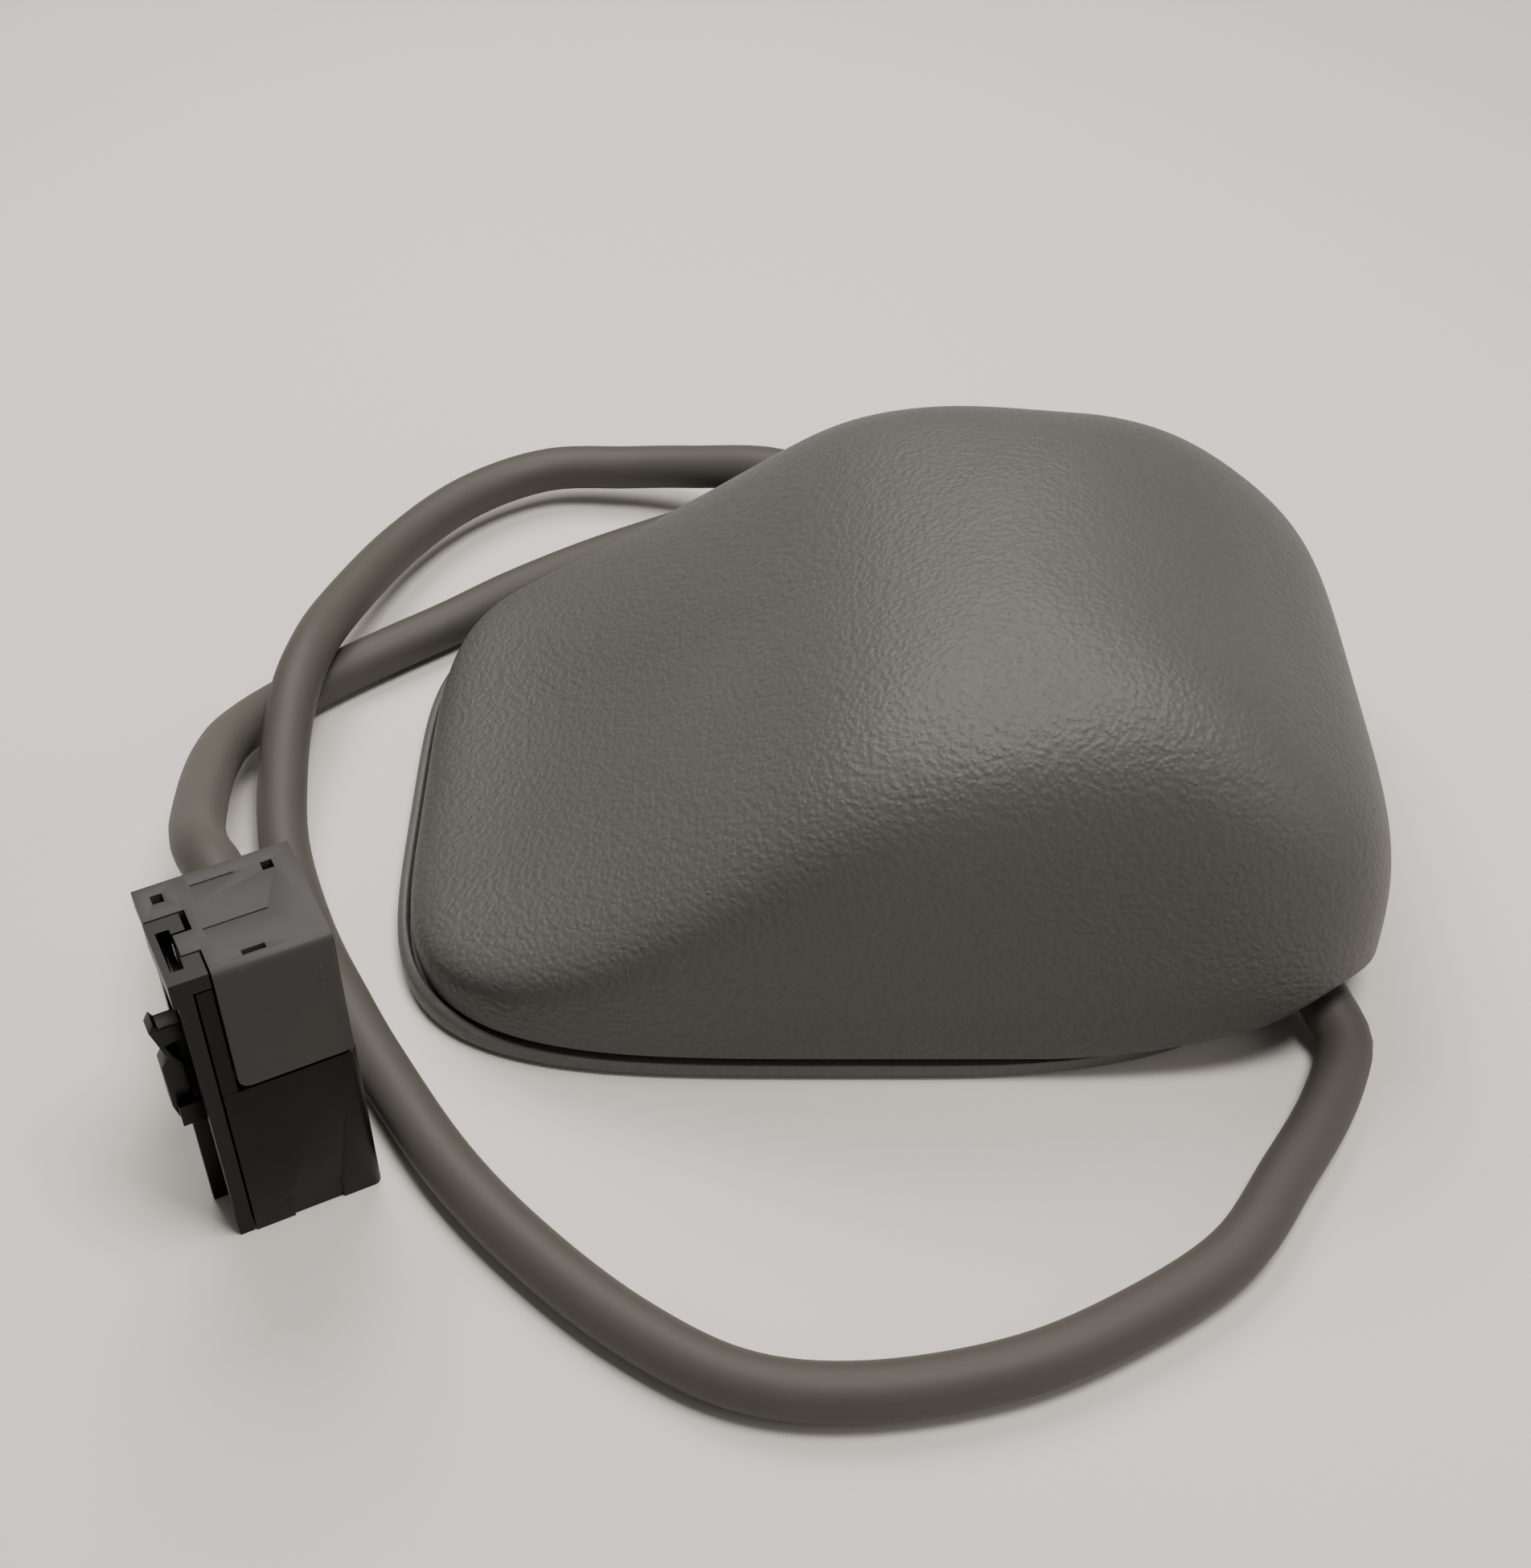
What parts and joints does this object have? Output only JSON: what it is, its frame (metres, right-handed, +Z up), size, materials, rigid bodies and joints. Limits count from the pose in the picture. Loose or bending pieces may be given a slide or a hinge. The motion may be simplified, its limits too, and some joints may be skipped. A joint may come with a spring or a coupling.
{
  "type": "sewing machine foot pedal",
  "caption": "Foot control with a grained rocking shell rising from a low heel to a tall toe end, on a thin base, with a long round cord ending in a block plug.",
  "frame": {"origin": "on the floor, under the middle of the pedal body's box (cord and plug left out)", "axes": "+X towards the tall toe end, +Y to the far side of the body (the plug stands on the -Y side of the low heel end), +Z up"},
  "size_m": [0.1843, 0.2095, 0.0613],
  "materials": {
    "shell_grey": "fine leather-grain texture",
    "tray_grey": "fine texture",
    "rubber": "matte",
    "steel": "ground",
    "zinc_plate": "satin",
    "spring_steel": "drawn wire",
    "circuit_laminate": "solder mask",
    "black_moulding": "satin",
    "cream_moulding": "satin",
    "white_acetal": "satin",
    "red_plunger": "gloss",
    "cord_jacket": "smooth matte",
    "hood_grey": "satin",
    "plug_black": "satin",
    "brass": "bright",
    "lead_red": "insulation",
    "lead_white": "insulation",
    "lead_blue": "insulation",
    "lead_yellow": "insulation"
  },
  "bodies": {
    "base": {"base_tray": "tray_grey", "board_screw_1": "steel", "board_screw_2": "steel", "board_screw_3": "steel", "board_screw_4": "steel", "cable_bush": "rubber", "circuit_board": "circuit_laminate", "contact_1": "brass", "contact_2": "brass", "contact_3": "brass", "contact_4": "brass", "contact_5": "brass", "contact_6": "brass", "contact_carrier": "black_moulding", "controller_chip": "black_moulding", "cord": "cord_jacket", "cord_clamp": "black_moulding", "header_socket": "cream_moulding", "heel_spring": "spring_steel", "heel_stop_front": "rubber", "heel_stop_rear": "rubber", "heel_switch": "black_moulding", "pin_cap_front": "black_moulding", "pin_cap_rear": "black_moulding", "pivot_pin": "steel", "plug_hood": "hood_grey", "plug_housing": "plug_black", "plug_side_rail": "plug_black", "rubber_foot_1": "rubber", "rubber_foot_2": "rubber", "rubber_foot_3": "rubber", "rubber_foot_4": "rubber", "smoothing_capacitor": "zinc_plate", "speed_sensor": "black_moulding", "strain_relief": "rubber", "toe_spring": "spring_steel", "toe_stop_front": "rubber", "toe_stop_rear": "rubber", "lead_red": "lead_red", "lead_white": "lead_white", "lead_blue": "lead_blue", "lead_yellow": "lead_yellow"},
    "tread": {"tread_shell": "shell_grey", "drive_sector": "white_acetal"},
    "sensor_gear": {"sensor_pinion": "white_acetal"},
    "heel_plunger": {"heel_switch_plunger": "red_plunger"},
    "latch": {"plug_latch": "plug_black"}
  },
  "joints": [
    {"name": "tread_pivot", "type": "hinge", "parent": "base", "child": "tread", "pos_m": [0, 0, 0.016], "axis": [0, 1, 0], "range_deg": [-0.8, 3], "stiffness_Nm_per_rad": 12, "deforming": ["toe_spring", "heel_spring"]},
    {"name": "sensor_pinion_turn", "type": "hinge", "parent": "base", "child": "sensor_gear", "pos_m": [-0.034, 0.0236, 0.016], "axis": [0, 1, 0], "range_deg": [-22.6, 6.1]},
    {"name": "heel_switch_press", "type": "slide", "parent": "base", "child": "heel_plunger", "axis": [0, 0, 1], "range_m": [-0.0006, 0.0021]},
    {"name": "plug_latch_flex", "type": "hinge", "parent": "base", "child": "latch", "pos_m": [-0.09459, -0.07576, 0.0245], "axis": [-0.4462, 0.8949, 0], "range_deg": [-6, 0], "stiffness_Nm_per_rad": 0.02}
  ],
  "couplings": [
    {"joint": "sensor_pinion_turn", "follows": "tread_pivot", "ratio": -7.5},
    {"joint": "heel_switch_press", "follows": "tread_pivot", "m_per_rad": 0.038}
  ]
}
